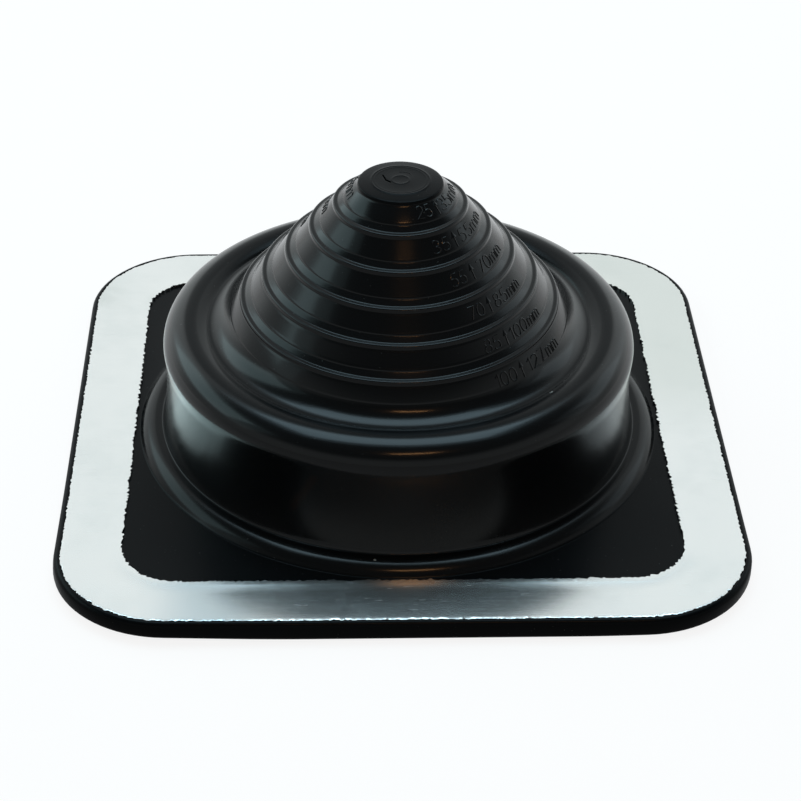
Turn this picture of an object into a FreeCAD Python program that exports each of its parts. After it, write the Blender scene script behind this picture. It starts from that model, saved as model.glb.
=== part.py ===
"""Pipe flashing boot: a one-piece rubber boot with a soft aluminium ring bonded on its square flange.

Units are millimetres. +Z is the axis of the cone, and the origin is the centre of the underside.
"""

import FreeCAD, Part
import math
import os
import re

import Sketcher

Vector = FreeCAD.Vector

# Driving sizes: alias, value and what it measures.
SIZES = [
    ("flange_height", 6.0, "underside to the top of the flange's rim"),
    ("rim_width", 1.9, "rubber rim round the aluminium ring"),
    ("rim_bevel", 1.1, "bevel of that rim's upper edge"),
    ("sheet_corner", 32.0, "outer corner radius of the aluminium ring"),
    ("sheet_thickness", 0.8, "aluminium ring"),
    ("sheet_clearance", 0.1, "gap between the aluminium ring and the rim round it"),
    ("band_width", 17.5, "aluminium ring, from its outer side to its window"),
    ("window_corner", 17.0, "corner radius of that window"),
    ("wall_thickness", 2.6, "rubber wall of the cap, cone, bulge and skirt"),
    ("cap_rise", 6.9, "first step's edge to the top of the closed cap's rim"),
    ("cap_diameter", 25.6, "closed cap, over its rim"),
    ("cap_bevel", 0.5, "bevel of the cap's outer edge"),
    ("cap_rim", 3.0, "width of the cap's rim, with its bevel"),
    ("cap_dish", 0.5, "depth of the dish inside the rim"),
    ("ring_one", 41.0, "diameter over the first step"),
    ("ring_two", 56.0, "diameter over the second step"),
    ("ring_three", 70.6, "diameter over the third step"),
    ("ring_four", 84.9, "diameter over the fourth step"),
    ("ring_five", 98.4, "diameter over the fifth step"),
    ("ring_top", 83.6, "height of the first step's edge"),
    ("ring_pitch", 8.0, "fall from one step's edge to the next"),
    ("lip_width", 1.7, "sloping lip of each step"),
    ("lip_fall", 0.65, "fall across that lip"),
    ("collar_width", 1.1, "steep collar between the cutting line and that lip"),
    ("collar_fall", 1.15, "fall of that collar"),
    ("line_width", 3.8, "fifth step's edge out to the last cutting line"),
    ("line_fall", 5.9, "fall from that edge to the last cutting line"),
    ("shoulder_width", 1.3, "steep face under the last cutting line"),
    ("shoulder_fall", 1.95, "fall of that face"),
    ("slope_width", 1.4, "gentler face between the shoulder and the valley"),
    ("slope_fall", 0.92, "fall of that face"),
    ("valley_width", 3.1, "flattest face, down to the valley beside the bulge"),
    ("valley_fall", 0.43, "fall of that face"),
    ("crown_radius", 9.5, "radius of the bulge's top"),
    ("cheek_radius", 7.5, "radius of the bulge's outside"),
    ("waist_inset", 0.374, "bulge's outside in to the skirt's waist"),
    ("foot_flare", 2.0, "waist out to the skirt's foot"),
    ("bead_height", 8.4, "underside to the top of the bead round the foot"),
    ("bead_width", 7.1, "foot out to the bead's outside"),
    ("window_gap", 1.3, "bead to the aluminium ring's window, where they are closest"),
    ("bead_round", 4.2, "outer rounding of the bead"),
    ("groove_edge", 8.0, "flange's edge to the first sealing groove"),
    ("groove_pitch", 8.0, "from one sealing groove to the next"),
    ("groove_width", 3.4, "width of a sealing groove"),
    ("groove_depth", 1.0, "depth of a sealing groove"),
]
ALIASES = {alias for alias, _, _ in SIZES}
RINGS = ("ring_one", "ring_two", "ring_three", "ring_four", "ring_five")
GROOVES = 2
CROWN_RISE = "33 deg"    # turn of the crown from the valley up to its top
CROWN_FALL = "30 deg"    # turn from there down to where the tighter cheek begins
CHEEK_END = "96 deg"     # slope at which the cheek, a little undercut, meets the skirt
WALL_SLANT = "50 deg"    # slope of the hollow cone under the steps
WAIST_SHARE = 0.615      # place of the waist between the skirt's foot and the bulge
BEAD_CHAMFERS = 3        # flat faces that make the bead's rounded side

doc = FreeCAD.newDocument("pipe_flashing_boot")
sheet = doc.addObject("Spreadsheet::Sheet", "sizes")
for row, (alias, value, note) in enumerate(SIZES, start=1):
    sheet.set(f"A{row}", note)
    sheet.set(f"B{row}", str(value))
    sheet.setAlias(f"B{row}", alias)
doc.recompute()


def bound(expression):
    """An expression on the sheet's aliases, as an object of the document writes it."""
    return re.sub(r"[a-z_]+", lambda m: f"sizes.{m[0]}" if m[0] in ALIASES else m[0], expression)


def size(expression):
    """The present value of such an expression."""
    found = doc.sizes.evalExpression(bound(expression))
    return float(getattr(found, "Value", found))


def new_body(label):
    """An empty body under its own label, at the part's origin."""
    body = doc.addObject("PartDesign::Body", label)
    body.Label = label
    body.Placement = FreeCAD.Placement()
    return body


def new_sketch(body, name, role, height=None):
    """A sketch on one of the body's own origin planes, lifted to a height where one is given."""
    sketch = body.newObject("Sketcher::SketchObject", name)
    plane = next(item for item in body.Origin.OriginFeatures if item.Role == role)
    sketch.AttachmentSupport = [(plane, "")]
    sketch.MapMode = "FlatFace"
    if height:
        sketch.setExpression("AttachmentOffset.Base.z", bound(height))
    return sketch


def dimension(sketch, kind, places, expression):
    """A dimension bound to the sheet; one that is zero puts its point on the axis instead."""
    value = size(expression)
    if kind != "Radius" and abs(value) < 1e-9:
        axis = -2 if kind == "DistanceX" else -1
        sketch.addConstraint(Sketcher.Constraint("PointOnObject", *places, axis))
        return
    origin = () if kind == "Radius" else (-1, 1)
    index = sketch.addConstraint(Sketcher.Constraint(kind, *origin, *places, value))
    sketch.setExpression(f"Constraints[{index}]", bound(expression))


def arc_between(start, end, radius, side):
    """An arc and the numbers of its ends at start and end; side 1 bends to the left, -1 to the right."""
    chord = end - start
    reach = math.sqrt(radius ** 2 - (chord.Length / 2) ** 2)
    left = Vector(-chord.y, chord.x, 0).normalize()
    centre = (start + end) * 0.5 + left * (reach * side)
    first, last = (start, end) if side > 0 else (end, start)
    angles = [math.atan2(p.y - centre.y, p.x - centre.x) for p in (first, last)]
    if angles[1] < angles[0]:
        angles[1] += 2 * math.pi
    curve = Part.ArcOfCircle(Part.Circle(centre, Vector(0, 0, 1), radius), *angles)
    return curve, ((1, 2) if side > 0 else (2, 1))


def section(body, name, points):
    """A closed half section. Each point is (radius, height), with (arc radius, side) of the piece
    that arrives at it where that is an arc; side -1 is rounded outwards, 1 is hollow."""
    sketch = new_sketch(body, name, "XZ_Plane")
    places = [Vector(size(x), size(z), 0) for x, z, *_ in points]
    ends = []
    for k, (_, _, *arc) in enumerate(points):
        start, end = places[k - 1], places[k]
        if arc:
            curve, (a, b) = arc_between(start, end, size(arc[0]), arc[1])
        else:
            curve, a, b = Part.LineSegment(start, end), 1, 2
        edge = sketch.addGeometry(curve, False)
        ends.append((edge, a, b))
    for k, (x, z, *arc) in enumerate(points):
        edge, _, end = ends[k]
        following, start, _ = ends[(k + 1) % len(ends)]
        sketch.addConstraint(Sketcher.Constraint("Coincident", edge, end, following, start))
        dimension(sketch, "DistanceX", (edge, end), x)
        dimension(sketch, "DistanceY", (edge, end), z)
        if arc:
            dimension(sketch, "Radius", (edge,), arc[0])
    return sketch


def rounded_square(sketch, side, corner):
    """A square with rounded corners, centred on the sketch's origin."""
    half, radius = size(side) / 2, size(corner)
    flat = half - radius
    edges, arcs = [], []
    for k in range(4):
        turn = k * math.pi / 2
        spin = FreeCAD.Rotation(Vector(0, 0, 1), math.degrees(turn))
        ends = [spin.multVec(Vector(half, y, 0)) for y in (-flat, flat)]
        centre = spin.multVec(Vector(flat, flat, 0))
        circle = Part.Circle(centre, Vector(0, 0, 1), radius)
        edges.append(sketch.addGeometry(Part.LineSegment(*ends), False))
        arcs.append(sketch.addGeometry(Part.ArcOfCircle(circle, turn, turn + math.pi / 2), False))
    for k in range(4):
        sketch.addConstraint(Sketcher.Constraint("Vertical" if k % 2 == 0 else "Horizontal", edges[k]))
        sketch.addConstraint(Sketcher.Constraint("Tangent", edges[k], 2, arcs[k], 1))
        sketch.addConstraint(Sketcher.Constraint("Tangent", arcs[k], 2, edges[(k + 1) % 4], 1))
    for arc in arcs[1:]:
        sketch.addConstraint(Sketcher.Constraint("Equal", arcs[0], arc))
    dimension(sketch, "Radius", (arcs[0],), corner)
    for k, kind in enumerate(("DistanceX", "DistanceY")):
        dimension(sketch, kind, (edges[k], 1), f"({side}) / 2")
        opposite = Sketcher.Constraint(kind, edges[k + 2], 1, -1, 1, half)
        index = sketch.addConstraint(opposite)
        sketch.setExpression(f"Constraints[{index}]", bound(f"({side}) / 2"))


def pad(body, name, sketch, length):
    """A pad upwards from its sketch."""
    feature = body.newObject("PartDesign::Pad", name)
    feature.Profile = sketch
    feature.setExpression("Length", bound(length))
    doc.recompute()
    return feature


def cut(body, kind, name, sketch, depth=None, upwards=False):
    """A pocket or a full groove that has to take rubber away."""
    before = body.Shape.Volume
    feature = body.newObject(f"PartDesign::{kind}", name)
    feature.Profile = sketch
    if depth:
        feature.setExpression("Length", bound(depth))
        feature.Reversed = upwards
    else:
        feature.ReferenceAxis = (sketch, ["V_Axis"])
        feature.Angle = 360
    doc.recompute()
    if body.Shape.Volume >= before - 1:
        raise RuntimeError(f"{name} cuts nothing")
    return feature


def rim_edges(shape, height, half):
    """Names of the edges that run round the flange's outline at the given height."""
    names = []
    for k, edge in enumerate(shape.Edges, start=1):
        box = edge.BoundBox
        level = abs(box.ZMin - height) < 1e-6 and abs(box.ZMax - height) < 1e-6
        if level and max(abs(box.XMax), abs(box.XMin), abs(box.YMax), abs(box.YMin)) > half - 1e-6:
            names.append(f"Edge{k}")
    return names


# Places that follow from the sizes, from the steps outwards.
SEAT = "(flange_height - sheet_thickness)"
CAP_TOP = "(ring_top + cap_rise)"
LINE_X = "(ring_five / 2 + line_width)"
LINE_Z = f"(ring_top - {len(RINGS) - 1} * ring_pitch - line_fall)"
VALLEY_X = f"({LINE_X} + shoulder_width + slope_width + valley_width)"
VALLEY_Z = f"({LINE_Z} - shoulder_fall - slope_fall - valley_fall)"
CROWN_X = f"({VALLEY_X} + crown_radius * sin({CROWN_RISE}))"
CROWN_Z = f"({VALLEY_Z} - crown_radius * cos({CROWN_RISE}))"
CHEEK_X = f"({CROWN_X} + (crown_radius - cheek_radius) * sin({CROWN_FALL}))"
CHEEK_Z = f"({CROWN_Z} + (crown_radius - cheek_radius) * cos({CROWN_FALL}))"
WAIST_X = f"({CHEEK_X} + cheek_radius - waist_inset)"
WAIST_Z = f"(bead_height + ({CHEEK_Z} + cheek_radius * cos({CHEEK_END}) - bead_height) * {WAIST_SHARE})"
FOOT_X = f"({WAIST_X} + foot_flare)"
BEAD_X = f"({FOOT_X} + bead_width)"
WINDOW_SIDE = f"(2 * {BEAD_X} + 2 * window_gap)"
SHEET_SIDE = f"({WINDOW_SIDE} + 2 * band_width)"
BASE_SIDE = f"({SHEET_SIDE} + 2 * sheet_clearance + 2 * rim_width)"
BASE_CORNER = "(sheet_corner + sheet_clearance + rim_width)"
ACROSS = f"wall_thickness * sin({WALL_SLANT})"
DOWN = f"wall_thickness * cos({WALL_SLANT})"


def step_edge(k):
    """Radius and height of the edge of a step."""
    return f"{RINGS[k]} / 2", f"ring_top - {k} * ring_pitch"


def collar_top(k):
    """Radius and height of the collar above a step's lip."""
    radius, height = step_edge(k)
    return f"{radius} - lip_width - collar_width", f"{height} + lip_fall + collar_fall"


def round_point(centre_x, centre_z, radius, turn):
    """A point of an arc in section, at a turn from its top."""
    return f"{centre_x} + ({radius}) * sin({turn})", f"{centre_z} + ({radius}) * cos({turn})"


def boot_outside():
    """Outer half section of the boot, from the middle of the cap down into the flange."""
    shoulder_x, shoulder_z = f"{LINE_X} + shoulder_width", f"{LINE_Z} - shoulder_fall"
    points = [
        ("0", f"{SEAT} / 2"),
        ("0", f"{CAP_TOP} - cap_dish"),
        ("cap_diameter / 2 - cap_rim - cap_dish", f"{CAP_TOP} - cap_dish"),
        ("cap_diameter / 2 - cap_rim", CAP_TOP),
        ("cap_diameter / 2 - cap_bevel", CAP_TOP),
        ("cap_diameter / 2", f"{CAP_TOP} - cap_bevel"),
    ]
    for k in range(len(RINGS)):
        radius, height = step_edge(k)
        points += [collar_top(k), (f"{radius} - lip_width", f"{height} + lip_fall"), (radius, height)]
    points += [
        (LINE_X, LINE_Z),
        (shoulder_x, shoulder_z),
        (f"{shoulder_x} + slope_width", f"{shoulder_z} - slope_fall"),
        (VALLEY_X, VALLEY_Z),
        (*round_point(CROWN_X, CROWN_Z, "crown_radius", CROWN_FALL), "crown_radius", -1),
        (*round_point(CHEEK_X, CHEEK_Z, "cheek_radius", CHEEK_END), "cheek_radius", -1),
        (WAIST_X, WAIST_Z),
        (FOOT_X, "bead_height"),
    ]
    turns = [f"{k} * 90 deg / {BEAD_CHAMFERS}" for k in range(BEAD_CHAMFERS + 1)]
    bead_centre = (f"{BEAD_X} - bead_round", "bead_height - bead_round")
    points += [round_point(*bead_centre, "bead_round", turn) for turn in turns]
    points.append((BEAD_X, f"{SEAT} / 2"))
    return points


def boot_hollow():
    """Half section of the hollow, one wall in from the outside: a plain cone under the steps, and
    flat faces within the bulge and the waist."""
    ceiling = f"{CAP_TOP} - cap_dish - wall_thickness"
    points = [("0", "0"), ("0", ceiling), ("cap_diameter / 2 - wall_thickness * 0.7", ceiling)]
    points += [(f"{x} - {ACROSS}", f"{z} - {DOWN}") for x, z in (collar_top(0), (LINE_X, LINE_Z))]
    crown, cheek = "crown_radius - wall_thickness", "cheek_radius - wall_thickness"
    points += [
        (VALLEY_X, f"{VALLEY_Z} - wall_thickness"),
        round_point(CROWN_X, CROWN_Z, crown, "0 deg"),
        round_point(CHEEK_X, CHEEK_Z, cheek, f"({CHEEK_END}) / 2"),
        round_point(CHEEK_X, CHEEK_Z, cheek, CHEEK_END),
        (f"{WAIST_X} - wall_thickness", WAIST_Z),
        (f"{FOOT_X} - wall_thickness", "bead_height"),
        (f"{FOOT_X} - wall_thickness", "0"),
    ]
    return points


def rubber_boot():
    """The moulded rubber: square flange, bead, skirt, bulge, stepped cone and cap in one piece."""
    body = new_body("rubber_boot")
    outline = new_sketch(body, "flange_outline", "XY_Plane")
    rounded_square(outline, BASE_SIDE, BASE_CORNER)
    flange = pad(body, "flange", outline, "flange_height")

    rim = body.newObject("PartDesign::Chamfer", "bevelled_rim")
    corner_start = size(f"{BASE_SIDE} / 2 - {BASE_CORNER}")
    rim.Base = (flange, rim_edges(flange.Shape, size("flange_height"), corner_start))
    rim.setExpression("Size", "sizes.rim_bevel")
    doc.recompute()

    seat = new_sketch(body, "sheet_seat_outline", "XY_Plane", "flange_height")
    rounded_square(seat, f"{SHEET_SIDE} + 2 * sheet_clearance", "sheet_corner + sheet_clearance")
    cut(body, "Pocket", "sheet_seat", seat, "sheet_thickness")

    boot = body.newObject("PartDesign::Revolution", "boot")
    boot.Profile = section(body, "boot_section", boot_outside())
    boot.ReferenceAxis = (boot.Profile[0], ["V_Axis"])
    boot.Angle = 360
    doc.recompute()

    cut(body, "Groove", "hollow", section(body, "hollow_section", boot_hollow()))

    ribs = new_sketch(body, "sealing_groove_outlines", "XY_Plane")
    for k in range(GROOVES):
        inset = f"(groove_edge + {k} * groove_pitch)"
        for edge in (inset, f"({inset} + groove_width)"):
            rounded_square(ribs, f"{BASE_SIDE} - 2 * {edge}", f"{BASE_CORNER} - {edge}")
    cut(body, "Pocket", "sealing_grooves", ribs, "groove_depth", upwards=True)
    return body


def aluminium_ring():
    """The soft aluminium frame, seated on the flange inside its rim."""
    body = new_body("aluminium_ring")
    outline = new_sketch(body, "ring_outline", "XY_Plane", SEAT)
    rounded_square(outline, SHEET_SIDE, "sheet_corner")
    rounded_square(outline, WINDOW_SIDE, "window_corner")
    pad(body, "sheet", outline, "sheet_thickness")
    return body


parts = [rubber_boot(), aluminium_ring()]
doc.recompute()
for item in doc.Objects:
    if {"Invalid", "Error"} & set(item.State):
        raise RuntimeError(f"{item.Name} is {item.State}")
os.makedirs("parts", exist_ok=True)
for part in parts:
    if part.Shape.isNull() or not part.Shape.isValid() or len(part.Shape.Solids) != 1:
        raise RuntimeError(f"{part.Label} has no single valid solid")
    part.Shape.exportStep(f"parts/{part.Label}.step")
    print(part.Label, round(part.Shape.Volume), part.Shape.BoundBox)
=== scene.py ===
"""Pipe flashing boot: the finished look of the rubber moulding and its soft aluminium band.

Metres, in the part's own frame. The origin is the centre of the flat underside, and +Z is the
cone's axis. Tables of sections and rings are in millimetres.
"""

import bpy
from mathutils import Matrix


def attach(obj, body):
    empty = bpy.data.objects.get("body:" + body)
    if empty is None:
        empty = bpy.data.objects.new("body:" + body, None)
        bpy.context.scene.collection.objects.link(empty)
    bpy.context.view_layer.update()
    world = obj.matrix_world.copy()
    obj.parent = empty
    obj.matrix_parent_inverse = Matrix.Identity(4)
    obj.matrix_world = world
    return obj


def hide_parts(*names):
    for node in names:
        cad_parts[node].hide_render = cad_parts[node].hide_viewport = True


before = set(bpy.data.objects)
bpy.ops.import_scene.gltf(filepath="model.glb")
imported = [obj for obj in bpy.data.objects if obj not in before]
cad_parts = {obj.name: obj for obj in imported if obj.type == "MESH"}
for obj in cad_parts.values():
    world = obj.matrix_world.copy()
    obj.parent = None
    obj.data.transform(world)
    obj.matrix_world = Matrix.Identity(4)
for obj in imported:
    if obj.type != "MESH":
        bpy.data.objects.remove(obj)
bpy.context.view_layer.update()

import math

import bmesh
import bpy
from mathutils import Matrix, Vector, noise

bl_info = {
    "name": "Pipe flashing boot",
    "version": (1, 0, 0),
    "blender": (4, 5, 0),
    "location": "View3D > Sidebar > Boot",
    "description": "Builds a stepped rubber pipe boot with its aluminium band, and a studio",
    "category": "Object",
}

MM = 0.001
TURN = 2 * math.pi
WELD = 1e-6                  # vertices closer than this, in metres, are one
CRISP = math.radians(40)     # edges sharper than this stay crisp

# The moulding's half section, as radius and height in millimetres.
SEGMENTS = 320
CAP_TOP = 91.12
CAP = (
    (0.0, 91.12), (2.0, 91.12), (2.3, 91.16), (2.5, 91.22), (2.62, 91.22), (2.78, 91.15),
    (3.1, 91.12), (7.4, 91.06), (7.65, 91.08), (7.8, 91.13), (7.95, 91.08), (8.3, 91.06),
    (8.5, 91.12), (8.65, 91.16), (8.8, 91.12), (9.0, 91.0), (9.4, 90.94), (11.0, 90.74),
    (12.1, 90.58), (12.45, 90.5), (12.65, 90.38), (12.76, 90.2), (12.82, 89.9), (12.9, 89.66),
    (13.05, 89.4), (13.4, 89.08))
CAP_SHOULDER = (12.72, 89.72)
STEP_EDGES = ((20.5, 83.6), (28.0, 75.6), (35.3, 67.6), (42.45, 59.6), (49.2, 51.6))
LINE_INSET, LINE_RISE = 2.8, 1.8     # from a step's edge in and up to its collar
COLLAR = (                           # cutting line, steep drop and slope, from the collar
    (-1.1, 0.86), (-0.9, 0.62), (-0.6, 0.25), (-0.55, 0.17), (-0.5, -0.04), (-0.44, -0.14),
    (-0.3, -0.27), (0.3, -0.78), (0.72, -1.13), (0.92, -1.3), (1.05, -1.41), (1.17, -1.49),
    (1.3, -1.54), (1.42, -1.56))
LIP = (                              # level lip and the face under it, from the step's edge
    (-0.6, 0.2), (-0.42, 0.18), (-0.25, 0.1), (-0.11, -0.04), (-0.02, -0.24), (0.02, -0.5),
    (0.05, -0.8), (0.12, -1.0), (0.26, -1.18), (0.5, -1.48), (0.7, -1.73))
LAST_LINE = (52.6, 46.2)
LAST_COLLAR = ((-0.92, 0.86), (-0.75, 0.6), (-0.52, 0.24), (-0.47, 0.14), (-0.4, -0.04))
CREASE_END = (55.4, 43.2)
CROWN, CROWN_RADIUS = (63.97, 34.43), 9.5
CHEEK, CHEEK_RADIUS = (64.97, 36.165), 7.5
INNER_CROWN_RADIUS, INNER_CHEEK_RADIUS = 6.9, 4.9

# The flange, from the bead over the rim and the grooves to the mouth: half side, corner, height.
FLANGE_RINGS = (
    (82.5, 30.0, 5.2), (90.0, 32.0, 5.2), (99.8, 32.0, 5.2), (100.1, 32.1, 5.3),
    (100.15, 32.1, 5.9), (100.3, 32.3, 6.0), (100.6, 32.6, 6.0), (101.1, 33.1, 5.85),
    (101.55, 33.55, 5.5), (101.85, 33.85, 5.0), (102.0, 34.0, 4.3), (102.0, 34.0, 1.4),
    (101.85, 33.85, 0.7), (101.5, 33.5, 0.25), (100.9, 32.9, 0.0), (94.0, 26.0, 0.0),
    (94.0, 26.0, 1.0), (90.6, 22.6, 1.0), (90.6, 22.6, 0.0), (86.0, 18.0, 0.0),
    (86.0, 18.0, 1.0), (82.6, 14.6, 1.0), (82.6, 14.6, 0.0))

# How the moulding sits, in metres: where the steps begin and the flange begins, and its height.
STEPS_ABOVE = 0.0425
FLANGE_BEYOND = 0.085
FLANGE_TOP = 0.006

# The band, from its window out: half side, corner, share of the torn edge's wander, and rise.
BAND_SEGMENTS = 1440
BAND_TOP = (
    (82.5, 17.0, 1.0, 0.06), (82.9, 17.4, 0.8, 0.06), (83.4, 17.8, 0.3, 0.03),
    (84.3, 18.6, 0.0, 0.03), (84.5, 18.8, 0.0, 0.0), (88.0, 21.0, 0.0, 0.0),
    (92.0, 24.5, 0.0, 0.0), (96.0, 28.5, 0.0, 0.0), (99.0, 31.0, 0.0, 0.0),
    (99.8, 31.8, 0.5, -0.01), (100.0, 32.0, 0.7, -0.05))
BAND_WINDOW = (82.5, 17.0, 1.0)
BAND_EDGE = (100.0, 32.0, 0.7)

# Angles round the cone, in degrees: 0 is the front, positive to the right.
ARROW_TURN = 43.5
MARKS = (
    (("25", 17.0, 34.5), ("35", 49.0, 70.0), ("mm", 73.0, 103.0)),
    (("35", 22.7, 37.0), ("55", 49.0, 64.5), ("mm", 67.0, 88.0)),
    (("55", 28.0, 38.0), ("70", 49.0, 60.0), ("mm", 62.0, 76.0)),
    (("70", 31.0, 39.6), ("85", 47.0, 56.0), ("mm", 57.5, 68.0)),
    (("85", 32.6, 40.0), ("100", 46.0, 56.5), ("mm", 58.0, 67.0)),
    (("100", 32.0, 40.6), ("127", 46.6, 55.7), ("mm", 57.5, 65.0)),
)
COLUMNS = (0.0, 180.0)
MARK_DROP = 0.9 * MM
RIDGE_SIDES = 8
CAP_ARC = dict(cx=0.6, cy=1.9, rx=2.9, ry=2.9, start=-20, end=110, count=14)
CAP_ARC_HALF = 0.13
CAP_ARC_HEIGHT = 0.35        # share of its half width

# Scuffs and pale specks on the rubber: colour, share, and scratches as start, end and half width in
# millimetres.
SCUFFS_AND_SPECKS = (
    ((0.03, 0.031, 0.03), 0.5, (
        ((-3.0, -72.7, 27.3), (2.8, -72.8, 23.8), 0.13),
        ((2.8, -72.8, 23.8), (8.6, -72.5, 21.3), 0.11))),
    ((0.03, 0.012, 0.005), 0.35, (
        ((-26.3, -67.7, 30.9), (-32.5, -65.1, 19.4), 1.3),)),
    # Pale specks, one on the bead's front and one at the valley's edge on the right.
    ((0.4, 0.39, 0.36), 0.8, (
        ((-8.8, -76.2, 8.5), (-8.6, -76.2, 8.5), 0.3),
        ((43.2, -42.0, 43.5), (43.6, -41.7, 43.4), 0.4))),
)
# A nick in the cap, as start, end and half width in millimetres, dented by bump and painted black
# as the shade inside it.
NICK = (
    ((-5.2, 2.8, 91.1), (-4.3, -0.3, 91.1), 0.26),
    ((-4.3, -0.3, 91.1), (-3.1, -1.5, 91.1), 0.36),
)

# Colours over the rubber and the aluminium.
DUST = (0.16, 0.16, 0.15, 1.0)
BLOOM = (0.006, 0.0066, 0.007, 1.0)
# Painted shade: the black inside the cap's nick.
NICK_SHADE = (0.0008, 0.0008, 0.0008, 1.0)
CLOUDED = (0.76, 0.78, 0.76, 1.0)
STAINED = (0.62, 0.64, 0.6, 1.0)
SCRATCHED = (0.7, 0.72, 0.72, 1.0)
SHADED = (0.68, 0.71, 0.66, 1.0)
# A painted bluish reflection of the rubber, for the band's front left.
PAINTED_REFLECTION = (0.3, 0.46, 0.54, 1.0)
WHITE = (1.0, 1.0, 1.0, 1.0)

# Scratches in the aluminium: turn in degrees, and how many times longer than wide they are.
SCRATCH_WAYS = ((12, 36.0), (75, 28.0), (-38, 32.0))

# The stage.
PAPER_GLOW = 0.875
FLOOR_RADIUS, FLOOR_DROP = 6.0, 0.0004
ROOM_TINT, ROOM_GLOW = (0.85, 0.91, 0.92), 0.09
LAMP_AIM = (0, 0, 0.04)
CAMERA_TILT, CAMERA_TURN, CAMERA_ROLL = 34.34, -2.08, 0.78    # degrees
CAMERA_AIM, CAMERA_AWAY = (0.00084, 0, 0.01201), 0.7219
SENSOR_WIDTH = 36.0


def bow(cx, cy, rx, ry, start, end, count=10):
    """Points of an ellipse's arc, by angles in degrees from its right side."""
    turns = [math.radians(start + (end - start) * k / count) for k in range(count + 1)]
    return [(cx + rx * math.cos(t), cy + ry * math.sin(t)) for t in turns]


# Engraver's strokes: each sign is a width and its lines, on a height of 1.
STROKES = {
    "0": (0.56, [bow(0.28, 0.5, 0.28, 0.5, 90, 450, 20)]),
    "1": (0.26, [[(0.0, 0.76), (0.24, 1.0), (0.24, 0.0)]]),
    "2": (0.54, [bow(0.27, 0.73, 0.26, 0.27, 170, -35) + [(0.0, 0.0), (0.54, 0.0)]]),
    "3": (0.54, [
        bow(0.26, 0.75, 0.24, 0.25, 155, -90),
        bow(0.26, 0.25, 0.27, 0.25, 90, -155)]),
    "5": (0.52, [
        [(0.48, 1.0), (0.1, 1.0), (0.05, 0.56)] + bow(0.25, 0.31, 0.27, 0.31, 125, -145)]),
    "7": (0.52, [[(0.0, 1.0), (0.52, 1.0), (0.2, 0.0)]]),
    "8": (0.54, [
        bow(0.27, 0.76, 0.22, 0.24, 90, 450, 16),
        bow(0.27, 0.26, 0.27, 0.26, 90, 450, 18)]),
    "m": (0.8, [
        [(0.0, 0.0), (0.0, 0.66)],
        bow(0.2, 0.46, 0.2, 0.2, 180, 0, 6) + [(0.4, 0.0)],
        bow(0.6, 0.46, 0.2, 0.2, 180, 0, 6) + [(0.8, 0.0)]]),
}
SIGN_GAP = 0.2
SHAFT = [(0.0, -0.12), (0.0, 0.9)]
HEAD_HALF, HEAD_TIP, HEAD_LENGTH, HEAD_MIDDLE, HEAD_FLATNESS = 0.27, 0.02, 0.58, 0.95, 0.32


# Lamps: name, turn from the front and rise in degrees, distance, width and height in metres,
# watts, colour.
LAMPS = (
    ("overhead", 180, 74, 1.15, 0.9, 0.56, 4.2, (0.6, 0.86, 1.0)),
    ("overhead_halo", 180, 74, 1.2, 1.2, 0.92, 2.5, (0.6, 0.86, 1.0)),
    ("left_wall", -112, 32, 1.3, 1.2, 0.55, 2.7, (0.67, 0.95, 1.0)),
    ("left_halo", -108, 32, 1.35, 1.8, 0.75, 1.4, (0.67, 0.95, 1.0)),
    ("right_wall", 116, 28, 1.3, 0.7, 0.45, 0.6, (0.78, 0.93, 1.0)),
    ("right_halo", 114, 28, 1.35, 1.3, 0.7, 0.6, (0.78, 0.93, 1.0)),
    ("warm_strip", 8, 54, 1.0, 0.26, 0.05, 0.48, (1.0, 0.5, 0.2)),
)


class Boot(bpy.types.PropertyGroup):
    """Sizes and colours of the rubber moulding."""

    rubber: bpy.props.FloatVectorProperty(
        name="Rubber", description="Colour of the moulded rubber", subtype="COLOR", size=3,
        default=(0.0044, 0.005, 0.0056), min=0, max=1)
    gloss_roughness: bpy.props.FloatProperty(
        name="Roughness", description="Roughness of the moulded rubber", default=0.24, min=0, max=1)
    polish: bpy.props.FloatProperty(
        name="Polish", description="Shine of the moulded cone, bulge and skirt", default=1.0, min=0,
        max=1)
    mark_height: bpy.props.FloatProperty(
        name="Mark height", description="Height of the raised size marks", default=3.9 * MM,
        unit="LENGTH")
    stroke: bpy.props.FloatProperty(
        name="Stroke", description="Half width of a raised mark's stroke", default=0.22 * MM,
        unit="LENGTH")
    lean: bpy.props.FloatProperty(
        name="Lean", description="How far the steps' sides ride above their front",
        default=1.1 * MM, unit="LENGTH")


class Band(bpy.types.PropertyGroup):
    """Sizes and colour of the aluminium band."""

    metal: bpy.props.FloatVectorProperty(
        name="Metal", description="Colour of the bare aluminium", subtype="COLOR", size=3,
        default=(0.9, 0.9, 0.88), min=0, max=1)
    thickness: bpy.props.FloatProperty(
        name="Thickness", description="Thickness of the aluminium", default=0.8 * MM, unit="LENGTH")
    raggedness: bpy.props.FloatProperty(
        name="Raggedness", description="How far the torn inner edge wanders", default=0.7 * MM,
        unit="LENGTH")


class Studio(bpy.types.PropertyGroup):
    """Camera, floor and light."""

    lens: bpy.props.FloatProperty(
        name="Lens", description="Focal length of the camera in millimetres", default=102.9)
    floor: bpy.props.FloatVectorProperty(
        name="Floor", description="Colour of the floor", subtype="COLOR", size=3,
        default=(0.2, 0.2, 0.2), min=0, max=1)


# ---------------------------------------------------------------- mesh helpers


def polar(radius, height, turn):
    """A point at a radius and height, turned from the front towards the right."""
    return Vector((radius * math.sin(turn), -radius * math.cos(turn), height))


def turn_of(vert):
    """A vertex's turn from the front towards the right."""
    return math.atan2(vert.co.x, -vert.co.y)


def arc(centre, radius, start, end, count):
    """Points of a section arc, by turns in degrees from its top; both ends are included."""
    points = []
    for k in range(count + 1):
        turn = math.radians(start + (end - start) * k / count)
        points.append((centre[0] + radius * math.sin(turn), centre[1] + radius * math.cos(turn)))
    return points


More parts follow.
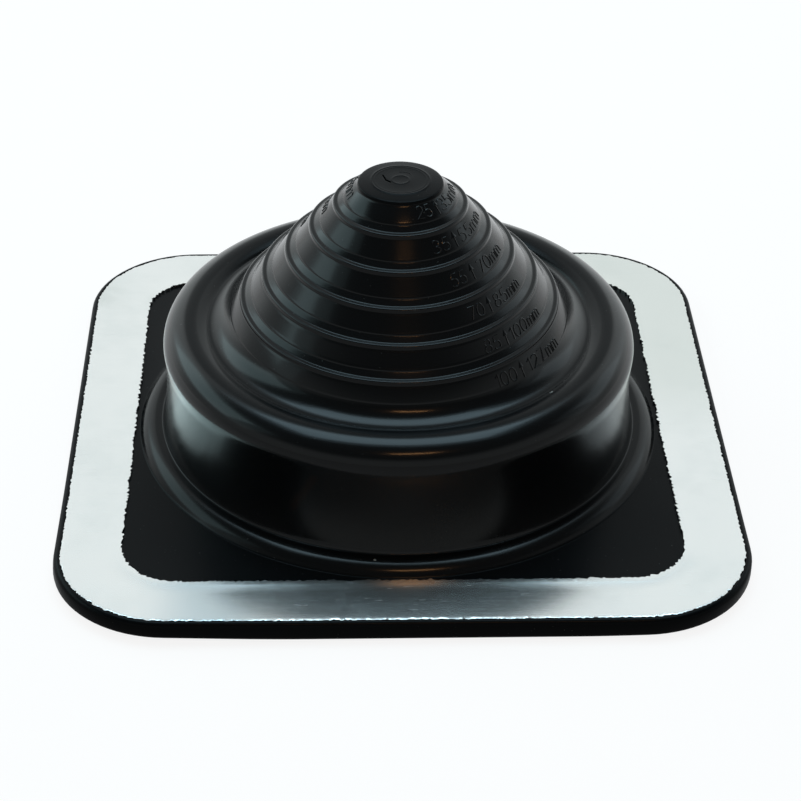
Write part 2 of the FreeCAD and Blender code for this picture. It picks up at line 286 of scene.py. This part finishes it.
def rounded_square(half, corner, turn):
    """The point of a rounded square, in millimetres, that lies in a direction from its centre."""
    x, y = math.sin(turn), -math.cos(turn)
    big, small = max(abs(x), abs(y)), min(abs(x), abs(y))
    flat = half - corner
    reach = half / big
    if small * reach > flat:
        along = flat * (big + small)
        reach = along + math.sqrt(max(along ** 2 - 2 * flat ** 2 + corner ** 2, 0.0))
    return Vector((x * reach, y * reach, 0.0))


def blend(value, low, high):
    """0 below low, 1 above high and a smooth rise between."""
    t = min(max((value - low) / (high - low), 0.0), 1.0)
    return t * t * (3 - 2 * t)


def grow_ring(bm, ring, place):
    """Extrudes a ring of edges, places each new vertex by its turn and returns the new ring."""
    made = bmesh.ops.extrude_edge_only(bm, edges=ring)["geom"]
    grown = {item for item in made if isinstance(item, bmesh.types.BMVert)}
    for vert in grown:
        vert.co = place(turn_of(vert))
    return [
        item for item in made
        if isinstance(item, bmesh.types.BMEdge) and all(vert in grown for vert in item.verts)]


def spun(bm, section, segments):
    """Spins a chain of section points, in millimetres, a full turn round Z."""
    verts = [bm.verts.new((0.0, -r * MM, z * MM)) for r, z in section]
    edges = [bm.edges.new(pair) for pair in zip(verts, verts[1:])]
    bmesh.ops.spin(
        bm, geom=verts + edges, cent=(0, 0, 0), axis=(0, 0, 1), angle=TURN, steps=segments,
        use_merge=True)


def finish_piece(bm, name, material, node=None):
    """Makes a piece of a bmesh: merged, facing outwards, shaded, and riding on the part."""
    bmesh.ops.remove_doubles(bm, verts=bm.verts, dist=WELD)
    bmesh.ops.recalc_face_normals(bm, faces=bm.faces)
    mesh = bpy.data.meshes.new(name)
    for face in bm.faces:
        face.smooth = True
    for edge in bm.edges:
        if len(edge.link_faces) == 2:
            edge.smooth = edge.calc_face_angle(0.0) < CRISP
    bm.to_mesh(mesh)
    bm.free()
    piece = bpy.data.objects.new(name, mesh)
    bpy.context.scene.collection.objects.link(piece)
    mesh.materials.append(material)
    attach(piece, "root")
    if node:
        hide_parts(node)


# ---------------------------------------------------------------- shader helpers


class Socket:
    """Wraps a node's output, so that shader maths is written as expressions."""

    def __init__(self, graph, socket):
        self.graph, self.socket = graph, socket

    def maths(self, operation, *others):
        """A maths node on this value and the others."""
        return self.graph.node(
            "ShaderNodeMath", {"operation": operation}, dict(enumerate((self, *others))))

    def __add__(self, other):
        return self.maths("ADD", other)

    __radd__ = __add__

    def __mul__(self, other):
        return self.maths("MULTIPLY", other)

    def __sub__(self, other):
        return self.maths("SUBTRACT", other)

    def __rsub__(self, other):
        return (self * -1) + other

    def above(self, low, high):
        """0 below low, 1 above high and a smooth rise between."""
        return self.graph.node(
            "ShaderNodeMapRange", {"interpolation_type": "SMOOTHSTEP"},
            {"Value": self, "From Min": low, "From Max": high}, "Result")

    def within(self, middle, half, soft):
        """1 close to middle and 0 further than half from it."""
        return 1 - (self - middle).maths("ABSOLUTE").above(half - soft, half + soft)


class Graph:
    """A material's or world's node tree."""

    def __init__(self, owner):
        owner.use_nodes = True
        self.tree = owner.node_tree
        self.tree.nodes.clear()

    def node(self, kind, settings, values, output=0):
        """Adds a node, sets it up, feeds its sockets and returns one of its outputs."""
        made = self.tree.nodes.new(kind)
        for key, value in settings.items():
            setattr(made, key, value)
        for key, value in values.items():
            if isinstance(value, Socket):
                self.tree.links.new(value.socket, made.inputs[key])
            else:
                made.inputs[key].default_value = value
        return Socket(self, made.outputs[output])

    def mix(self, share, first, second):
        """Colours mixed by a share."""
        return self.node(
            "ShaderNodeMix", {"data_type": "RGBA"}, {0: share, 6: first, 7: second}, 2)

    def noise(self, place, scale, detail=2.0, roughness=0.5):
        """Noise of a scale, in waves a metre."""
        return self.node(
            "ShaderNodeTexNoise", {}, {"Vector": place, "Scale": scale, "Detail": detail,
                                       "Roughness": roughness}, "Fac")

    def axis(self, place, name):
        """One coordinate of a place."""
        return self.node("ShaderNodeSeparateXYZ", {}, {0: place}, name)

    def scratched(self, place, lines):
        """The sum of straight scratches, each a start, an end and a half width."""
        mask = 0.0
        for line in lines:
            mask = self.near(place, *line) + mask
        return mask

    def near(self, place, start, end, half):
        """1 on a straight scratch between two points, all in millimetres."""
        start, run = Vector(start) * MM, (Vector(end) - Vector(start)) * MM
        away = self.node("ShaderNodeVectorMath", {"operation": "SUBTRACT"}, {0: place, 1: start})
        along = self.node(
            "ShaderNodeVectorMath", {"operation": "DOT_PRODUCT"},
            {0: away, 1: run / run.length_squared}, "Value")
        share = along.maths("MINIMUM", 1.0).maths("MAXIMUM", 0.0)
        foot = self.node(
            "ShaderNodeVectorMath", {"operation": "SCALE"}, {0: run, "Scale": share})
        gap = self.node(
            "ShaderNodeVectorMath", {"operation": "DISTANCE"}, {0: away, 1: foot}, "Value")
        return 1 - gap.above(half * 0.5 * MM, half * 1.5 * MM)

    def rays(self):
        """Whether the camera looks, and whether a mirror or glass does."""
        looks = [
            self.node("ShaderNodeLightPath", {}, {}, name)
            for name in ("Is Camera Ray", "Is Glossy Ray", "Is Transmission Ray")]
        return looks[0], looks[1].maths("MAXIMUM", looks[2])

    def end(self, shader, kind):
        """Joins the last shader to the tree's output."""
        out = self.tree.nodes.new("ShaderNodeOutput" + kind)
        self.tree.links.new(shader.socket, out.inputs["Surface"])


def rubber_material():
    """Satin black moulded rubber: turning marks, pale dust, scuffs and a nick in the cap with
    painted shade.
    """
    boot = bpy.context.scene.boot
    material = bpy.data.materials.new("moulded_rubber")
    graph = Graph(material)
    place = graph.node("ShaderNodeTexCoord", {}, {}, "Object")
    height, side = graph.axis(place, "Z"), graph.axis(place, "X")
    flat = graph.node(
        "ShaderNodeVectorMath", {"operation": "MULTIPLY"}, {0: place, 1: (1, 1, 0)})
    reach = graph.node("ShaderNodeVectorMath", {"operation": "LENGTH"}, {0: flat}, "Value")
    grain = graph.noise(place, 1100.0, 3.0, 0.6)
    cloud = graph.noise(place, 38.0, 3.0, 0.55)
    dust = graph.noise(place, 1300.0, 1.0, 0.4).above(0.775, 0.8)

    # Turning marks on the lower steps and the skirt, stronger at the left.
    thread = graph.node("ShaderNodeCombineXYZ", {}, {"X": reach - height, "Y": side * 0.02})
    turning = graph.noise(thread, 2600.0, 2.0, 0.6)
    lathe = reach.within(0.0445, 0.0085, 0.001) * height.above(0.0445, 0.0455)
    skirt = reach.within(0.0725, 0.0025, 0.0006) * height.within(0.02, 0.012, 0.003)
    turned = (lathe + skirt) * (0.35 + (1 - side.above(-0.05, 0.0)) * 0.65)

    tint = graph.mix(dust * 0.3, (*boot.rubber, 1.0), DUST)
    tint = graph.mix(cloud.above(0.55, 0.8) * 0.3, tint, BLOOM)
    for paint, share, lines in SCUFFS_AND_SPECKS:
        mask = graph.scratched(place, lines).maths("MINIMUM", 1.0)
        tint = graph.mix(mask * share, tint, (*paint, 1.0))
    nick = graph.scratched(place, NICK)
    rough = boot.gloss_roughness + (cloud - 0.5) * 0.14 + (grain - 0.5) * 0.06
    fine = graph.node(
        "ShaderNodeBump", {}, {"Strength": 0.08, "Distance": 0.0002, "Height": grain})
    lines = graph.node("ShaderNodeBump", {}, {
        "Strength": 0.5, "Distance": 0.00004, "Height": turning * turned, "Normal": fine})
    bump = graph.node("ShaderNodeBump", {}, {
        "Strength": 0.8, "Distance": 0.0003, "Height": 1 - nick, "Normal": lines})

    # The moulded shine: none on the flange or the cap's top, less on level faces, in the crease
    # and low on the skirt's sides.
    flatness = graph.node("ShaderNodeAttribute", {"attribute_name": "flatness"}, {}, "Fac")
    low = (1 - height.above(0.031, 0.034)) * side.maths("ABSOLUTE").above(0.034, 0.058)
    level = (1 - reach.within(0.0615, 0.0042, 0.0012) * 0.6) * (
        1 - flatness * 0.7) * (1 - low * 0.45)
    moulded = height.above(0.0053, 0.0058) * (1 - reach.above(0.0815, 0.0825)) * (
        1 - height.above(0.0894, 0.0898)) * level
    rubber = graph.node("ShaderNodeBsdfPrincipled", {}, {
        "Base Color": tint, "Roughness": rough, "Specular IOR Level": 0.06, "Normal": bump,
        "Coat Weight": moulded * boot.polish, "Coat Roughness": 0.15, "Coat IOR": 1.32})
    # Painted shade in the nick: black, without shine.
    torn = graph.node("ShaderNodeBsdfDiffuse", {}, {"Color": NICK_SHADE})
    graph.end(graph.node("ShaderNodeMixShader", {}, {
        0: nick.maths("MINIMUM", 1.0), 1: rubber, 2: torn}), "Material")
    return material


def aluminium_material():
    """Soft bare aluminium sheet: rolled grain, fine scratches and a painted reflection patch."""
    band = bpy.context.scene.band
    material = bpy.data.materials.new("soft_aluminium")
    graph = Graph(material)
    place = graph.node("ShaderNodeTexCoord", {}, {}, "Object")
    side, depth = graph.axis(place, "X"), graph.axis(place, "Y")
    cloud = graph.noise(place, 45.0, 3.0, 0.6)
    fine = graph.noise(place, 700.0, 2.0, 0.6)
    scratches = 0.0
    for turn, stretch in SCRATCH_WAYS:
        along = graph.node("ShaderNodeMapping", {}, {
            "Vector": place, "Rotation": (0, 0, math.radians(turn)),
            "Scale": (1.0, stretch, 1.0)})
        scratches = graph.noise(along, 60.0, 3.0, 0.75).above(0.66, 0.72) + scratches
    rolled = graph.node("ShaderNodeMapping", {}, {"Vector": place, "Scale": (1.0, 40.0, 1.0)})
    streaks = graph.noise(rolled, 30.0, 3.0, 0.6)
    stain = graph.noise(place, 22.0, 4.0, 0.6).above(0.6, 0.72)

    # Painted shade, a little darker at the back right; a painted bluish reflection at the front
    # left.
    shade = side.above(0.03, 0.06) * depth.above(-0.02, 0.03)
    painted_reflection = side.within(-0.056, 0.012, 0.01) * (1 - depth.above(-0.083, -0.076))
    tint = graph.mix(cloud.above(0.4, 0.8) * 0.45, (*band.metal, 1.0), CLOUDED)
    tint = graph.mix(stain * 0.3, tint, STAINED)
    tint = graph.mix(scratches.maths("MINIMUM", 1.0) * 0.25, tint, SCRATCHED)
    tint = graph.mix(shade * 0.5, tint, SHADED)
    # Painted reflection of the rubber, bluish and darker, at the front left.
    tint = graph.mix(painted_reflection * 0.42, tint, PAINTED_REFLECTION)
    rough = 0.15 + cloud * 0.08 + fine * 0.03 + streaks * 0.06 + scratches * 0.04
    bump = graph.node(
        "ShaderNodeBump", {}, {"Strength": 0.05, "Distance": 0.0003, "Height": cloud})
    lines = graph.node("ShaderNodeBump", {}, {
        "Strength": 0.07, "Distance": 0.00005, "Height": streaks - scratches * 0.6,
        "Normal": bump})
    graph.end(graph.node("ShaderNodeBsdfPrincipled", {}, {
        "Base Color": tint, "Metallic": 1.0, "Roughness": rough, "Normal": lines}), "Material")
    return material


# ---------------------------------------------------------------- the rubber moulding


def offsets(origin, points):
    """Section points given as offsets from an origin."""
    return [(origin[0] + across, origin[1] + up) for across, up in points]


def outer_section():
    """The moulding's outer half section, from the cap's middle to the bead's foot."""
    points = list(CAP)
    for radius, height in STEP_EDGES:
        points += offsets((radius - LINE_INSET, height + LINE_RISE), COLLAR)
        points += offsets((radius, height), LIP)
    points += offsets(LAST_LINE, LAST_COLLAR)
    points += hollow_curve(*offsets(LAST_LINE, [(-0.33, -0.14)]), CREASE_END, 7.4, 9)
    points += arc((59.3, 51.2), 8.9, 206, 183, 5)[1:] + [(58.8, 42.33)]
    points += arc(CROWN, CROWN_RADIUS, -31, 30, 14)
    points += arc(CHEEK, CHEEK_RADIUS, 30, 96, 14)[1:]
    points += hollow_curve((72.43, 35.38), (73.9, 8.75), 78.0, 16)[1:]
    points += [(74.0, 8.6), (74.3, 8.5), (74.9, 8.54)]
    points += arc((75.34, 2.26), 6.3, 2, 56, 11)
    return points + [(80.9, 5.42), (81.15, 5.25), (81.4, 5.2)]


def hollow_curve(start, end, radius, count):
    """Points of an arc between two section points, falling and bulging towards the axis."""
    a, b = Vector(start), Vector(end)
    chord = b - a
    inwards = Vector((chord.y, -chord.x)).normalized()
    centre = (a + b) / 2 - inwards * math.sqrt(radius ** 2 - (chord.length / 2) ** 2)
    first, last = (math.atan2(p.y - centre.y, p.x - centre.x) for p in (a, b))
    if last < first:
        last += TURN
    turns = [first + (last - first) * k / count for k in range(count + 1)]
    return [(centre.x + radius * math.cos(t), centre.y + radius * math.sin(t)) for t in turns]


def inner_section():
    """The hollow's half section, from the mouth up to the ceiling's middle."""
    points = [(71.9, 0.0), (71.5, 0.6), (71.5, 4.5), (71.5, 8.4)]
    points += [(70.4, 15.0), (69.6, 22.0), (69.5, 28.0), (69.7, 32.5)]
    points += arc(CHEEK, INNER_CHEEK_RADIUS, 96, 30, 6)
    points += arc(CROWN, INNER_CROWN_RADIUS, 30, -20, 5)[1:]
    points += [(58.8, 39.8), (56.0, 40.6), (52.6, 42.4), (50.9, 44.1), (44.0, 51.9)]
    points += [(36.0, 60.9), (28.0, 70.0), (20.0, 79.0), (15.7, 83.9), (11.0, 87.4)]
    return points + [(0.0, 87.4)]


def settle(co):
    """How the soft moulding sits: the steps' sides ride high, and the front corners lift."""
    radius = math.hypot(co.x, co.y)
    if radius < WELD:
        return co
    if co.z > STEPS_ABOVE:
        lean = bpy.context.scene.boot.lean * (co.x / radius) ** 2
        slide = lean * blend(radius, 0.013, 0.028) * (1 - blend(radius, 0.051, 0.057))
        inwards = 1 - 0.6 * slide / radius
        return Vector((co.x * inwards, co.y * inwards, co.z + 0.8 * slide))
    if radius > FLANGE_BEYOND:
        left = blend(-co.x - co.y, 0.13, 0.19)
        right = blend(co.x - co.y, 0.15, 0.19)
        hang = 1 - min(co.z / FLANGE_TOP, 1.0)
        rise = left * (0.45 + 0.9 * hang) + right * (0.2 + 0.5 * hang)
        return co + Vector((-0.6 * MM * left * hang, 0, rise * MM))
    return co


class BOOT_OT_rubber(bpy.types.Operator):
    """Builds the rubber moulding in one piece: cap, steps, bulge, skirt, bead and flange"""

    bl_idname = "boot.rubber"
    bl_label = "Rubber moulding"

    def execute(self, context):
        bm = bmesh.new()
        spun(bm, outer_section(), SEGMENTS)
        bmesh.ops.remove_doubles(bm, verts=bm.verts, dist=WELD)
        ring = [e for e in bm.edges if e.is_boundary]
        for half, corner, height in FLANGE_RINGS:
            ring = grow_ring(
                bm, ring,
                lambda turn, h=half, c=corner, z=height: (
                    rounded_square(h, c, turn) + Vector((0, 0, z))) * MM)
        for radius, height in inner_section():
            ring = grow_ring(bm, ring, lambda turn, r=radius, z=height: polar(r, z, turn) * MM)
        for vert in bm.verts:
            vert.co = settle(vert.co)
        bmesh.ops.recalc_face_normals(bm, faces=bm.faces)
        bm.normal_update()
        flatness = bm.verts.layers.float.new("flatness")
        for vert in bm.verts:
            vert[flatness] = blend(vert.normal.z, 0.972, 0.994)
        finish_piece(bm, "rubber_moulding", rubber_material(), "rubber_boot")
        return {"FINISHED"}


def bands():
    """The two ends of each band's straight collar, in millimetres, from the cap down."""
    tops = [CAP_SHOULDER] + [(r + 0.5, h - 1.48) for r, h in STEP_EDGES]
    feet = [(r - 3.7, h + 2.42) for r, h in STEP_EDGES]
    feet.append((LAST_LINE[0] - 0.75, LAST_LINE[1] + 0.6))
    return list(zip(tops, feet))


def ridge(bm, path, radius, closed):
    """A rounded ridge along a flat path: half of it stands out of the surface it is laid on."""
    rings = []
    count = len(path)
    for k, (x, y) in enumerate(path):
        before = path[(k - 1) % count] if closed or k else path[k]
        after = path[(k + 1) % count] if closed or k < count - 1 else path[k]
        along = Vector((after[0] - before[0], after[1] - before[1], 0)).normalized()
        side, up = Vector((-along.y, along.x, 0)), Vector((0, 0, 1))
        turns = [TURN * j / RIDGE_SIDES for j in range(RIDGE_SIDES)]
        ring = [
            bm.verts.new(Vector((x, y, 0)) + (side * math.cos(t) + up * math.sin(t)) * radius)
            for t in turns]
        rings.append([bm.edges.new(pair) for pair in zip(ring, ring[1:] + ring[:1])])
    pairs = list(zip(rings, rings[1:])) + ([(rings[-1], rings[0])] if closed else [])
    for first, second in pairs:
        bmesh.ops.bridge_loops(bm, edges=first + second)
    if not closed:
        for ring in (rings[0], rings[-1]):
            bmesh.ops.contextual_create(bm, geom=ring)


class BOOT_OT_marks(bpy.types.Operator):
    """Lays the raised pipe sizes, arrows and millimetre signs on the steps"""

    bl_idname = "boot.marks"
    bl_label = "Step marks"

    def execute(self, context):
        boot = context.scene.boot
        thin = boot.stroke / boot.mark_height
        bm = bmesh.new()
        for (top, foot), row in zip(bands(), MARKS):
            for column in COLUMNS:
                for text, start, end in row:
                    self.lay(bm, top, foot, *self.word(text, thin), start + column, end + column)
                self.lay(bm, top, foot, self.arrow(thin), 0.0, ARROW_TURN + column, None)
        self.cap_arc(bm)
        finish_piece(bm, "step_marks", rubber_material())
        return {"FINISHED"}

    def cap_arc(self, bm):
        """A low raised arc on the cap, beside its ring."""
        sheet = bmesh.new()
        path = [(x * MM, y * MM) for x, y in bow(**CAP_ARC)]
        ridge(sheet, path, CAP_ARC_HALF * MM, False)
        bmesh.ops.scale(sheet, verts=sheet.verts, vec=(1.0, 1.0, CAP_ARC_HEIGHT))
        bmesh.ops.translate(sheet, verts=sheet.verts, vec=(0, 0, CAP_TOP * MM))
        self.add(bm, sheet)

    def add(self, bm, sheet):
        """Adds a finished drawing to the marks."""
        mesh = bpy.data.meshes.new("sheet")
        sheet.to_mesh(mesh)
        sheet.free()
        bm.from_mesh(mesh)
        bpy.data.meshes.remove(mesh)

    def word(self, text, thin):
        """A word's strokes on a height of 1, from its left end, and its width."""
        sheet, x = bmesh.new(), 0.0
        for sign in text:
            width, lines = STROKES[sign]
            for line in lines:
                closed = math.dist(line[0], line[-1]) < WELD
                path = [(x + px, py) for px, py in (line[:-1] if closed else line)]
                ridge(sheet, path, thin, closed)
            x += width + SIGN_GAP
        return sheet, x - SIGN_GAP

    def arrow(self, thin):
        """An upright arrow with a slim head, on the same height."""
        sheet = bmesh.new()
        ridge(sheet, SHAFT, thin, False)
        head = bmesh.ops.create_cone(
            sheet, cap_ends=True, segments=4, radius1=HEAD_HALF, radius2=HEAD_TIP,
            depth=HEAD_LENGTH)["verts"]
        bmesh.ops.rotate(
            sheet, verts=head, cent=(0, 0, 0), matrix=Matrix.Rotation(-TURN / 4, 3, "X"))
        bmesh.ops.scale(sheet, verts=head, vec=(1.0, 1.0, HEAD_FLATNESS))
        bmesh.ops.translate(sheet, verts=head, vec=(0.0, HEAD_MIDDLE, 0.0))
        return sheet

    def lay(self, bm, top, foot, sheet, width, start, end):
        """Wraps a flat drawing round a band, between two turns in degrees or at one."""
        height = bpy.context.scene.boot.mark_height
        a, b = Vector(top) * MM, Vector(foot) * MM
        down = (b - a).normalized()
        out = Vector((-down.y, down.x))
        baseline = MARK_DROP + height
        middle = a + down * (MARK_DROP + height / 2)
        spread = (math.radians(end - start) * middle.x / width) if end else height
        for vert in sheet.verts:
            line = a + down * (baseline - vert.co.y * height) + out * (vert.co.z * height)
            turn = math.radians(start) + vert.co.x * spread / middle.x
            vert.co = settle(polar(line.x, line.y, turn))
        self.add(bm, sheet)


class BOOT_OT_band(bpy.types.Operator):
    """Builds the soft aluminium band with its torn inner edge"""

    bl_idname = "boot.band"
    bl_label = "Aluminium band"

    def execute(self, context):
        band = context.scene.band
        bm = bmesh.new()
        bmesh.ops.create_circle(bm, cap_ends=False, segments=BAND_SEGMENTS, radius=0.08)
        under = -band.thickness / MM
        for vert in bm.verts:
            vert.co = self.place(turn_of(vert), *BAND_WINDOW, under)
        ring = list(bm.edges)
        for step in (*BAND_TOP, (*BAND_EDGE, under), (*BAND_WINDOW, under)):
            ring = grow_ring(bm, ring, lambda turn, at=step: self.place(turn, *at))
        finish_piece(bm, "aluminium_band", aluminium_material(), "aluminium_ring")
        return {"FINISHED"}

    def place(self, turn, half, corner, wander, rise):
        """A point of the band, drawn in or out by its torn edge, waved, and lifted."""
        point = rounded_square(half, corner, turn) * MM
        rough = noise.fractal(point * 900, 0.6, 2.2, 4) + 0.5 * noise.noise(point * 160)
        rough = max(min(rough, 0.8), -0.8)
        point += point.normalized() * rough * wander * bpy.context.scene.band.raggedness
        wave = noise.noise(point * 28) * 0.05
        point.z = (FLANGE_TOP / MM + rise + wave) * MM
        return settle(point)


# ---------------------------------------------------------------- the stage


def soft_box(name, place, aim, width, height, power, colour):
    """A rectangular lamp at a place, turned to an aim."""
    lamp = bpy.data.lights.new(name, "AREA")
    lamp.shape = "RECTANGLE"
    lamp.size, lamp.size_y = width, height
    lamp.energy, lamp.color = power, colour
    box = bpy.data.objects.new(name, lamp)
    bpy.context.scene.collection.objects.link(box)
    box.location = place
    box.rotation_mode = "QUATERNION"
    box.rotation_quaternion = (aim - place).to_track_quat("-Z", "Y")


class BOOT_OT_studio(bpy.types.Operator):
    """Sets the floor, the soft lamps and the camera"""

    bl_idname = "boot.studio"
    bl_label = "Studio"

    def execute(self, context):
        scene = context.scene
        studio = scene.studio
        self.floor(studio)
        self.world(scene)
        aim = Vector(LAMP_AIM)
        for name, turn, up, away, width, height, power, colour in LAMPS:
            side, rise = math.radians(turn), math.radians(up)
            place = Vector((
                math.sin(side) * math.cos(rise), -math.cos(side) * math.cos(rise), math.sin(rise)))
            soft_box(name, aim + place * away, aim, width, height, power, colour)
        self.camera(scene, studio)
        return {"FINISHED"}

    def floor(self, studio):
        """A wide pale floor that stays white away from the part's shadow."""
        bm = bmesh.new()
        bmesh.ops.create_circle(bm, cap_ends=True, segments=96, radius=FLOOR_RADIUS)
        for vert in bm.verts:
            vert.co.z = -FLOOR_DROP
        mesh = bpy.data.meshes.new("floor")
        bm.to_mesh(mesh)
        bm.free()
        floor = bpy.data.objects.new("floor", mesh)
        bpy.context.scene.collection.objects.link(floor)
        material = bpy.data.materials.new("floor_paper")
        graph = Graph(material)
        camera, mirrored = graph.rays()
        place = graph.node("ShaderNodeTexCoord", {}, {}, "Object")
        behind = graph.axis(place, "Y").above(-0.15, 0.3)
        glow = (camera + mirrored * (0.3 + behind * 0.5)) * PAPER_GLOW
        paper = graph.node("ShaderNodeBsdfDiffuse", {}, {"Color": (*studio.floor, 1.0)})
        light = graph.node("ShaderNodeEmission", {}, {"Color": glow})
        graph.end(graph.node("ShaderNodeAddShader", {}, {0: paper, 1: light}), "Material")
        mesh.materials.append(material)

    def world(self, scene):
        """A dim room with a bright wall behind, which looks white where the camera sees it."""
        scene.world = bpy.data.worlds.new("room")
        graph = Graph(scene.world)
        camera, mirrored = graph.rays()
        way = graph.node("ShaderNodeTexCoord", {}, {}, "Generated")
        behind, height = graph.axis(way, "Y").above(0.3, 0.75), graph.axis(way, "Z")
        wall = behind * (1 - height.above(0.6, 0.8) * 0.5)
        front = (1 - behind) * (1 - height.above(0.3, 0.6)) * 0.42
        glow = ROOM_GLOW + wall * (0.4 + mirrored * 0.53) + mirrored * front
        room = graph.node(
            "ShaderNodeVectorMath", {"operation": "SCALE"}, {0: ROOM_TINT, "Scale": glow})
        graph.end(graph.node("ShaderNodeBackground", {}, {
            "Color": graph.mix(camera, room, WHITE)}), "World")

    def camera(self, scene, studio):
        """The camera: in front, above, a little turned and rolled."""
        lens = bpy.data.cameras.new("camera")
        lens.lens, lens.sensor_width = studio.lens, SENSOR_WIDTH
        lens.clip_start, lens.clip_end = 0.01, 50
        camera = bpy.data.objects.new("camera", lens)
        scene.collection.objects.link(camera)
        down, turn, roll = map(math.radians, (CAMERA_TILT, CAMERA_TURN, CAMERA_ROLL))
        ahead = Vector((0, math.cos(down), -math.sin(down)))
        right = Vector((1, 0, 0))
        up = right.cross(ahead)
        side = right * math.cos(roll) + up * math.sin(roll)
        top = up * math.cos(roll) - right * math.sin(roll)
        place = Vector(CAMERA_AIM) - ahead * CAMERA_AWAY
        pose = Matrix((
            (side.x, top.x, -ahead.x, place.x),
            (side.y, top.y, -ahead.y, place.y),
            (side.z, top.z, -ahead.z, place.z),
            (0, 0, 0, 1),
        ))
        camera.matrix_world = Matrix.Rotation(turn, 4, "Z") @ pose
        scene.camera = camera


class BOOT_PT_panel(bpy.types.Panel):
    """The boot's steps, in the 3D view's sidebar"""

    bl_label = "Pipe flashing boot"
    bl_idname = "BOOT_PT_panel"
    bl_space_type = "VIEW_3D"
    bl_region_type = "UI"
    bl_category = "Boot"

    def draw(self, context):
        for step in STEPS:
            self.layout.operator(step.bl_idname)
        for group in ("boot", "band", "studio"):
            owner = getattr(context.scene, group)
            for name in owner.__annotations__:
                self.layout.prop(owner, name)


GROUPS = {"boot": Boot, "band": Band, "studio": Studio}
STEPS = (BOOT_OT_rubber, BOOT_OT_marks, BOOT_OT_band, BOOT_OT_studio)


def register():
    """Registers the sizes, the steps and the panel."""
    for group in GROUPS.values():
        bpy.utils.register_class(group)
    for name, group in GROUPS.items():
        setattr(bpy.types.Scene, name, bpy.props.PointerProperty(type=group))
    for item in (*STEPS, BOOT_PT_panel):
        bpy.utils.register_class(item)


def unregister():
    """Takes them all out again."""
    for item in (BOOT_PT_panel, *reversed(STEPS)):
        bpy.utils.unregister_class(item)
    for name, group in GROUPS.items():
        delattr(bpy.types.Scene, name)
        bpy.utils.unregister_class(group)


def main():
    """Builds the part's look and its studio."""
    register()
    scene = bpy.context.scene
    scene.view_settings.view_transform = "Standard"
    bpy.ops.boot.rubber()
    bpy.ops.boot.marks()
    bpy.ops.boot.band()
    bpy.ops.boot.studio()


if __name__ == "__main__":
    main()
